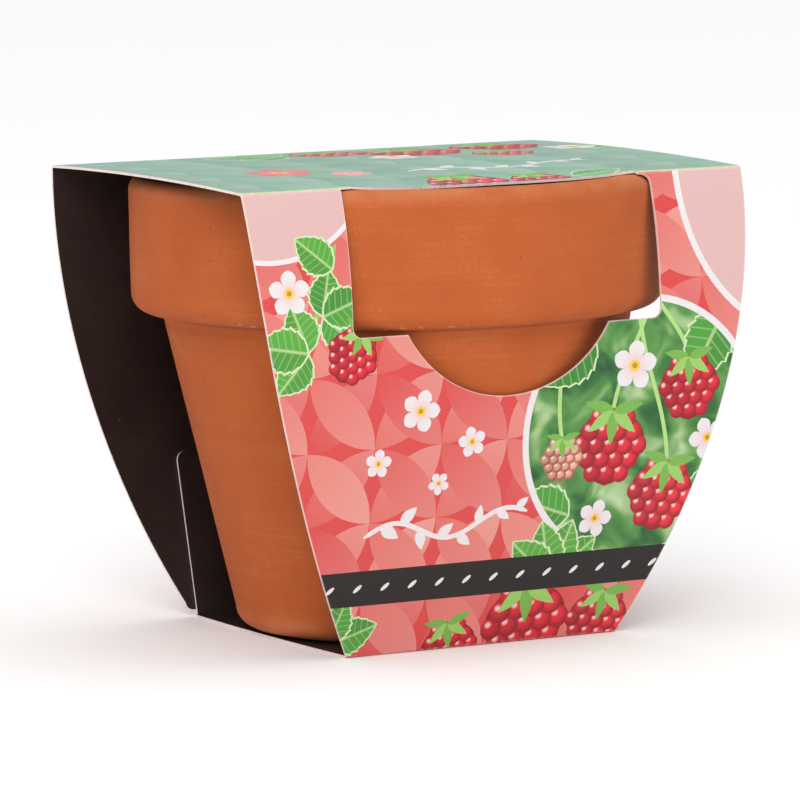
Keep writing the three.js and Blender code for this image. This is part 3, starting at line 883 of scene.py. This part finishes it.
    def window(self, sizes, panel):
        """The window with its scoop, cut through a panel and a little way into the top."""
        half, sill = in_mm(sizes.window_half), in_mm(sizes.sill_z)
        scoop, depth = in_mm(sizes.scoop_half), in_mm(sizes.scoop_depth)
        line = FRONT_LINE if panel == "front" else BACK_LINE
        top = line[-1][1]
        roll = depth / 2 + scoop**2 / (2 * depth)
        centre = sill - depth + roll
        reach = math.degrees(math.asin(scoop / roll))
        scoop_cut = arc(0, centre, roll, -90, -90 + reach, 20)
        corner_cut = arc(half - CUT_ROUND, sill + CUT_ROUND, CUT_ROUND, -90, 0, 7)
        side_cut = np.stack([np.full(12, half), np.linspace(sill + 4, top - 3, 12)], 1)
        bends = ((half, top - 2.6), (half, top - 1.2), (half - 0.6, top - 0.7), (half - 2.6, top - 0.3))
        right = self.laid(panel, np.vstack([scoop_cut, corner_cut, side_cut, curve(bends, 8)]))
        edge = line[-1][0] - TOP_RELIEF
        free_v = float(self.v_of("top", -edge if panel == "front" else edge))
        across = np.stack([np.linspace(half - 2.6, -half + 0.3, 27), np.full(27, free_v)], 1)
        rise = np.linspace(sill + 4, top - 0.2, 14)[::-1]
        up = self.laid(panel, np.stack([np.full(14, -half), rise], 1))
        low_left = (right[: len(scoop_cut) + len(corner_cut)] * (-1, 1))[::-1][:-1]
        return np.vstack([right, across, up, low_left])


def inside(points, outline):
    """Which points lie within a closed outline, by winding number."""
    turns = np.zeros(len(points), int)
    low, high = outline.min(0), outline.max(0)
    near = np.all((points >= low) & (points <= high), 1)
    x, y = points[near].T
    count = np.zeros(len(x), int)
    for (ax, ay), (bx, by) in zip(outline, np.roll(outline, -1, axis=0)):
        left = (bx - ax) * (y - ay) - (x - ax) * (by - ay)
        count += (ay <= y) & (by > y) & (left > 0)
        count -= (ay > y) & (by <= y) & (left < 0)
    turns[near] = count
    return turns != 0


def ring(outline, inset):
    """A closed outline set in by a distance, or out by a negative one."""
    after = np.roll(outline, -1, axis=0)
    turning = np.sum(np.cross(outline, after))
    return outline + leftward(after - np.roll(outline, 1, axis=0)) * inset * math.copysign(1, turning)


def along_line(outline, step):
    """Points at even steps along a closed outline."""
    out = []
    for a, b in zip(outline, np.roll(outline, -1, axis=0)):
        count = max(1, int(np.linalg.norm(b - a) / step))
        out += [a + (b - a) * i / count for i in range(count)]
    return np.array(out)


def make_card(sizes):
    """Cuts and prints the blank. Returns its flat mesh, what is printed on it, and its cut lines."""
    blank = Blank(sizes)
    inks = {k: np.array(getattr(sizes, k)) for k in ("coral", "coral_pale", "pink", "mint", "stripe")}
    inks.update(mint_pale=inks["mint"] * 0.93 + 0.04, mint_deep=inks["mint"] * 0.9)
    for name, share in (("coral_mid", 0.22), ("coral_light", 0.58)):
        inks[name] = inks["coral"] * (1 - share) + inks["coral_pale"] * share
    prints = {
        "back": ("coral", back_print), "top": ("mint", top_print),
        "front": ("coral", front_print), "base": ("coral", base_print),
    }
    outline = blank.outline()
    windows = [blank.window(sizes, "front"), blank.window(sizes, "back")]
    places, edges, shown = [], [], []

    def draw(points, closed=True):
        start, count = len(places), len(points)
        places.extend(points.tolist())
        ends = range(count if closed else count - 1)
        edges.extend((start + i, start + (i + 1) % count) for i in ends)

    for cut in (outline, *windows):
        draw(cut)
        draw(ring(cut, WEAR_INSET if cut is outline else -WEAR_INSET))
    for fold in blank.folds:
        for v in fold + np.linspace(-1, 1, 7) * in_mm(sizes.fold):
            draw(np.array([[-PAST_CUT, v], [PAST_CUT, v]]), closed=False)
    for panel, (_, print_of) in prints.items():
        low, high, _ = blank.spans[panel]
        for item in print_of(inks):
            laid = blank.laid(panel, item["outline"])
            x, v = laid.T
            if (v > low - 1).any() and (v < high + 1).any() and (np.abs(x) < PAST_CUT - 1).any():
                draw(laid)
                shown.append((panel, laid, item))
    # Points between the drawn lines, so that the card can bend
    for v in np.arange(1.0, blank.length, BEND_ROWS):
        reach = float(blank.half(v)) - 1.0
        places.extend([x, v] for x in np.arange(-reach, reach, BEND_COLUMNS).tolist())
    flat, _, faces, *_ = delaunay_2d_cdt([Vector(p) for p in places], edges, [], 0, 1e-4)
    flat = np.array([p[:] for p in flat])
    faces = np.array([f for f in faces if len(f) == 3])
    middle = flat[faces].mean(1)
    area = np.cross(flat[faces[:, 1]] - flat[faces[:, 0]], flat[faces[:, 2]] - flat[faces[:, 0]])
    keep = inside(middle, outline) & (np.abs(area) > 1e-9)
    for window in windows:
        keep &= ~inside(middle, window)
    faces, middle, area = faces[keep], middle[keep], area[keep]
    used, faces = np.unique(faces, return_inverse=True)
    flat, faces = flat[used], faces.reshape(-1, 3)
    faces[area < 0] = faces[area < 0][:, ::-1]
    ink, motif = np.ones((len(faces), 3, 4)), np.zeros((len(faces), 3, 3))
    ink[..., :3] = inks["coral"]
    on_panel = {}
    for panel, (ground, _) in prints.items():
        low, high, _ = blank.spans[panel]
        on_panel[panel] = (middle[:, 1] > low) & (middle[:, 1] <= high)
        ink[on_panel[panel], :, :3] = inks[ground]
    for panel, laid, item in shown:
        hit = on_panel[panel] & inside(middle, laid)
        if item["clip"] is not None:
            hit &= inside(middle, blank.laid(panel, item["clip"]))
        ink[hit, :, :3] = item["ink"]
        # The shading's local frame, with up as it is on the folded panel
        up = 1.0 if panel in ("back", "base") else -1.0
        delta = (flat[faces[hit]] - blank.laid(panel, [item["origin"]])[0]) * (1.0, up)
        c, s = math.cos(item["angle"]), math.sin(item["angle"])
        along = (delta[..., 0] * c + delta[..., 1] * s) / item["long"]
        across = (delta[..., 1] * c - delta[..., 0] * s) / item["half"]
        motif[hit] = np.stack([along, across, np.full(along.shape, item["kind"])], -1)
    cuts = np.vstack([along_line(cut, CUT_STEP) for cut in (outline, *windows)])
    return blank, flat, faces, ink, motif, cuts


class CLAYPOT_OT_pot(bpy.types.Operator):
    """Turn the terracotta pot"""

    bl_idname = "claypot.pot"
    bl_label = "Turn the pot"

    def execute(self, context):
        s = context.scene.clay_pot
        low_z, top_z, stand = in_mm(s.rim_low_z), in_mm(s.rim_top_z), in_mm(s.stand)
        foot_r, body_r, wall = in_mm(s.body_foot), in_mm(s.body_top), in_mm(s.wall)
        floor_z = stand + in_mm(s.floor)

        def body(z):
            return foot_r + (body_r - foot_r) * (z - stand) / (low_z - stand)

        def rim(z):
            low_r, top_r = in_mm(s.rim_low), in_mm(s.rim_top)
            return low_r + (top_r - low_r) * (z - low_z) / (top_z - low_z)

        # Rounds: foot, crease under the rim, the rim's two outer edges and the mouth, then the
        # inner floor's corner and the drain hole's two edges
        foot, neck, lower, upper, mouth = 4.0, 2.5, 3.8, 2.8, 2.0
        inner, hole_top, hole_low = 4.0, 0.9, 0.5
        mouth_r, drain = in_mm(s.mouth), in_mm(s.drain)
        # The inner wall runs straight up to 8 mm under the rim, and from there to the mouth
        throat_z = low_z - 8
        profile = np.vstack([
            (body(stand + foot) * 0.72, stand),
            arc(body(stand + foot) - foot, stand + foot, foot, -90, 0, 12),
            arc(body(low_z - neck) + neck, low_z - neck, neck, 180, 90, 8),
            arc(rim(low_z + lower) - lower, low_z + lower, lower, -90, 0, 14),
            arc(rim(top_z - upper) - upper, top_z - upper, upper, 0, 90, 12),
            arc(mouth_r + mouth, top_z - mouth, mouth, 90, 180, 8),
            (body(throat_z) - wall, throat_z),
            arc(body(floor_z + inner) - wall - inner, floor_z + inner, inner, 0, -90, 8),
            arc(drain + hole_top, floor_z - hole_top, hole_top, 90, 180, 5),
            arc(drain + hole_low, stand + hole_low, hole_low, 180, 270, 4),
        ])
        points, faces = turned(along_line(profile, POT_STEP), POT_SIDES)
        # Hand-finished clay is never quite true: inward by up to a fifth of a millimetre
        for p in points:
            waves = noise.noise(Vector(p) * 0.045)
            rings = noise.noise(Vector(p * (0.02, 0.02, 0.6)))
            r = math.hypot(p[0], p[1])
            if r > drain + 2:
                p[:2] *= 1 - max(0.0, 0.1 + 0.1 * waves + 0.03 * rings) / r
        pot = new_piece("terracotta_pot", points, faces, [terracotta(s)])
        settle(pot, "pot")
        return {"FINISHED"}


class CLAYPOT_OT_sleeve(bpy.types.Operator):
    """Cut, print and fold the card sleeve"""

    bl_idname = "claypot.sleeve"
    bl_label = "Fold the sleeve"

    def execute(self, context):
        s = context.scene.clay_sleeve
        blank, flat, faces, ink, motif, cuts = make_card(s)
        x, v = flat.T
        outer = blank.place(x, v)
        normal = blank.normal(x, v)
        inner = outer - normal * in_mm(s.card)
        count = len(flat)
        # The printed side looks out, so its faces turn the other way from the flat blank's
        front = faces[:, ::-1]
        back = faces + count
        pairs = np.concatenate([front[:, [0, 1]], front[:, [1, 2]], front[:, [2, 0]]]).tolist()
        known = set(map(tuple, pairs))
        a, b = np.array([(a, b) for a, b in pairs if (b, a) not in known]).T
        sides = np.stack([b, a, a + count, b + count], 1)
        points = np.vstack([outer, inner])
        slots = np.repeat([0, 1, 2], [len(front), len(back), len(sides)])
        corner = points[sides]
        edge_way = unit(np.cross(corner[:, 1] - corner[:, 0], corner[:, 3] - corner[:, 0]))
        normals = np.concatenate([
            normal[front].reshape(-1, 3), -normal[faces].reshape(-1, 3), np.repeat(edge_way, 4, axis=0),
        ])
        piece = new_piece(
            "card_sleeve", points, [*front, *back, *sides],
            [printed_card(s), card_inside(s), card_edge(s)], slots, normals,
        )
        laid = np.stack([x, v, np.zeros(count)], 1)
        cut_tree = KDTree(len(cuts))
        for i, place in enumerate(cuts):
            cut_tree.insert((*place, 0), i)
        cut_tree.balance()
        to_cut = np.array([cut_tree.find(place)[2] for place in laid])
        to_fold = np.min([np.abs(v - fold) for fold in blank.folds], axis=0)
        worn = np.stack([to_cut, to_fold, np.zeros(count)], 1)
        # The printed side's corners come first, and only they carry ink and motifs
        mesh = piece.data
        write_attribute(mesh, "ink", "FLOAT_COLOR", "CORNER", ink[:, ::-1].reshape(-1, 4), rest=1.0)
        write_attribute(mesh, "motif", "FLOAT_VECTOR", "CORNER", motif[:, ::-1].reshape(-1, 3))
        sheet = np.vstack([laid, laid + (0, 0, INNER_SHIFT)])
        write_attribute(mesh, "sheet", "FLOAT_VECTOR", "POINT", sheet)
        write_attribute(mesh, "worn", "FLOAT_VECTOR", "POINT", np.vstack([worn, worn]))
        settle(piece, "sleeve")
        return {"FINISHED"}


class CLAYPOT_OT_tablets(bpy.types.Operator):
    """Press the two coir tablets"""

    bl_idname = "claypot.tablets"
    bl_label = "Press the tablets"

    def execute(self, context):
        s = context.scene.clay_filling
        r, h, soft = in_mm(s.tablet), in_mm(s.tablet_height), 1.6
        material = coir_fibre(s)
        for node in ("coir_tablet_lower", "coir_tablet_upper"):
            bottom = in_mm(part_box(node)[0].z)
            flat = [(t * (r - soft), bottom) for t in np.linspace(0.01, 0.97, 16)]
            top = [(x, bottom + h) for x, _ in flat[::-1]]
            wall = [(r, z) for z in np.linspace(bottom + soft + 0.8, bottom + h - soft - 0.8, 9)]
            profile = np.vstack([
                flat, arc(r - soft, bottom + soft, soft, -90, 0, 6), wall,
                arc(r - soft, bottom + h - soft, soft, 0, 90, 6), top,
            ])
            points, faces = turned(profile, TABLET_SIDES)
            middle = points.mean(0)
            for p in points:
                crumb, lump = (abs(noise.noise(Vector(p) * scale)) for scale in (0.7, 0.23))
                rough = crumb * 0.5 + lump * 0.5
                p += (middle - p) / np.linalg.norm(middle - p) * rough
            tablet = new_piece(f"{node}_pressed", points, faces, [material])
            settle(tablet, node)
        return {"FINISHED"}


class CLAYPOT_OT_sachet(bpy.types.Operator):
    """Fold the paper seed sachet"""

    bl_idname = "claypot.sachet"
    bl_label = "Fold the sachet"

    def execute(self, context):
        s = context.scene.clay_filling
        low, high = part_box("seed_sachet")
        # The bag stays just inside the solid, and is pressed flat and crimped at its two end seams
        half_x, half_y = in_mm(s.sachet_x) / 2 - 0.1, in_mm(s.sachet_y) / 2 - 0.1
        middle, thick = in_mm(low.z + high.z) / 2, in_mm(high.z - low.z) / 2 - 0.05
        nx, ny, seam, paper, ripple = 91, 65, 0.86, 0.12, 0.12
        gx, gy = np.meshgrid(np.linspace(-1, 1, nx), np.linspace(-1, 1, ny), indexing="ij")
        belly = np.clip(1 - (np.abs(gx) / seam) ** 3, 0, 1) * np.clip(1 - np.abs(gy) ** 3, 0, 1)
        crimp = np.where(np.abs(gx) > seam, ripple * np.sin(gy * 60), 0)
        height = paper + (thick - 0.3) * belly
        upper, lower = (
            np.stack([gx * half_x, gy * half_y, middle + side * height + crimp], -1).reshape(-1, 3)
            for side in (1, -1)
        )
        count = nx * ny
        grid = np.arange(count).reshape(nx, ny)
        a = grid[:-1, :-1].ravel()
        quads = np.stack([a, a + ny, a + ny + 1, a + 1], 1)
        around = np.concatenate([grid[:, 0], grid[-1, 1:], grid[-2::-1, -1], grid[0, -2:0:-1]])
        before = np.roll(around, 1)
        sides = np.stack([around, before, before + count, around + count], 1)
        faces = np.vstack([quads, quads[:, ::-1] + count, sides])
        sachet = new_piece("seed_sachet_paper", np.vstack([upper, lower]), faces, [sachet_paper(s)])
        settle(sachet, "seed_sachet")
        return {"FINISHED"}


class CLAYPOT_OT_stage(bpy.types.Operator):
    """Set up the floor, the lights and the camera"""

    bl_idname = "claypot.stage"
    bl_label = "Set the stage"

    def execute(self, context):
        scene, s = context.scene, context.scene.clay_stage
        # The floor lies a hair under the card, so that the two don't fight for one plane
        reach, under = in_mm(FLOOR_HALF), -0.02
        corners = [(x * reach, y * reach, under) for x, y in ((-1, -1), (1, -1), (1, 1), (-1, 1))]
        floor = new_piece("studio_floor", corners, [(0, 1, 2, 3)], [studio_floor(s)])
        world = bpy.data.worlds.new("white_room")
        world.use_nodes = True
        background = world.node_tree.nodes["Background"]
        background.inputs["Color"].default_value = (1, 1, 1, 1)
        background.inputs["Strength"].default_value = s.room
        scene.world = world
        light = bpy.data.lights.new("softbox", "AREA")
        light.energy, light.size = s.key, SOFTBOX_SIZE
        lamp = bpy.data.objects.new("softbox", light)
        lamp.location = KEY_PLACE
        lamp.rotation_euler = (-Vector(KEY_PLACE)).to_track_quat("-Z", "Y").to_euler()
        scene.collection.objects.link(lamp)
        # A sun as wide as most of the sky lights the top softly
        light = bpy.data.lights.new("overhead_panel", "SUN")
        light.energy, light.angle = s.overhead, math.radians(120)
        lamp = bpy.data.objects.new("overhead_panel", light)
        scene.collection.objects.link(lamp)
        camera = bpy.data.cameras.new("camera")
        camera.lens, camera.sensor_width = s.lens, 36.0
        camera.clip_start, camera.clip_end = 0.05, 200.0
        seat = bpy.data.objects.new("camera", camera)
        az, el, roll = s.azimuth, s.elevation, s.roll
        ahead = Vector((math.sin(az) * math.cos(el), math.cos(az) * math.cos(el), -math.sin(el)))
        level = Vector((math.cos(az), -math.sin(az), 0))
        upright = level.cross(ahead)
        right = level * math.cos(roll) + upright * math.sin(roll)
        up = upright * math.cos(roll) - level * math.sin(roll)
        turn = Matrix((right, up, -ahead)).transposed().to_4x4()
        seat.matrix_world = Matrix.Translation(s.place) @ turn
        scene.collection.objects.link(seat)
        scene.camera = seat
        scene.view_settings.view_transform = "Standard"
        return {"FINISHED"}


class CLAYPOT_PT_panel(bpy.types.Panel):
    """The pot's pieces, in the order in which they are made"""

    bl_idname = "CLAYPOT_PT_panel"
    bl_label = "Clay Pot"
    bl_space_type = "VIEW_3D"
    bl_region_type = "UI"
    bl_category = "Clay Pot"

    def draw(self, context):
        for group, operators in PANEL_ROWS:
            box = self.layout.box()
            for name in getattr(context.scene, group).bl_rna.properties.keys():
                if name not in ("rna_type", "name"):
                    box.prop(getattr(context.scene, group), name)
            for operator in operators:
                box.operator(operator)


GROUPS = {
    "clay_pot": PotSizes, "clay_sleeve": SleeveSizes, "clay_filling": FillingSizes,
    "clay_stage": StageSettings,
}
PANEL_ROWS = (
    ("clay_pot", ("claypot.pot",)),
    ("clay_sleeve", ("claypot.sleeve",)),
    ("clay_filling", ("claypot.tablets", "claypot.sachet")),
    ("clay_stage", ("claypot.stage",)),
)
CLASSES = (
    *GROUPS.values(), CLAYPOT_OT_pot, CLAYPOT_OT_sleeve, CLAYPOT_OT_tablets, CLAYPOT_OT_sachet,
    CLAYPOT_OT_stage, CLAYPOT_PT_panel,
)


def register():
    for cls in CLASSES:
        bpy.utils.register_class(cls)
    for name, group in GROUPS.items():
        setattr(bpy.types.Scene, name, bpy.props.PointerProperty(type=group))


def unregister():
    for name in GROUPS:
        delattr(bpy.types.Scene, name)
    for cls in reversed(CLASSES):
        bpy.utils.unregister_class(cls)


def main():
    register()
    bpy.ops.claypot.stage()
    bpy.ops.claypot.pot()
    bpy.ops.claypot.sleeve()
    bpy.ops.claypot.tablets()
    bpy.ops.claypot.sachet()


if __name__ == "__main__":
    main()
